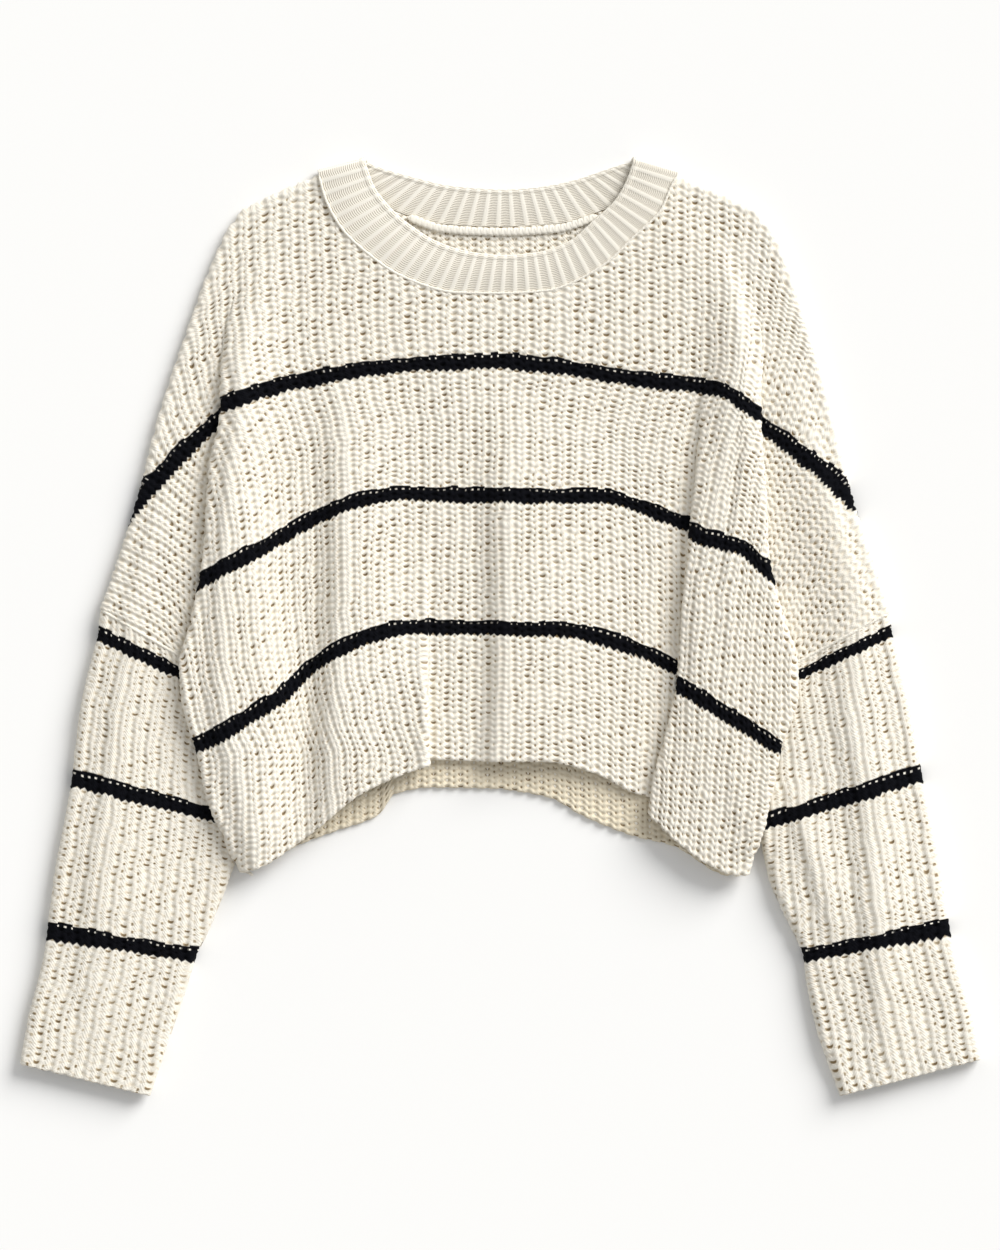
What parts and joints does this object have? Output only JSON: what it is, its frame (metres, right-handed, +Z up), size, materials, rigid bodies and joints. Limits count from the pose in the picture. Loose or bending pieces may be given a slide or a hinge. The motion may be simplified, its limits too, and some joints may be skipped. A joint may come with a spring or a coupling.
{
  "type": "crew neck pullover sweater",
  "caption": "Cropped chunky rib-knit crew-neck pullover with dropped shoulders, long sleeves and dark stripes, laid flat on its back with its front up.",
  "frame": {"origin": "centre of the bounding box in plan, at the floor that the pullover lies on", "axes": "+Z up from the floor through the front panel, +Y from the hem to the neck, +X towards the wearer's left sleeve, which is on the right as the front is seen"},
  "size_m": [0.673, 0.6559, 0.0221],
  "materials": {
    "cream_knit": "matte chunky rib knit",
    "neckband_knit": "matte fine rib knit",
    "linking_seam": "matte chained seam"
  },
  "bodies": {
    "root": {"back": "cream_knit", "front": "cream_knit", "sleeve_left": "cream_knit", "sleeve_right": "cream_knit", "neckband": "neckband_knit", "neck_seam": "linking_seam"}
  },
  "joints": []
}
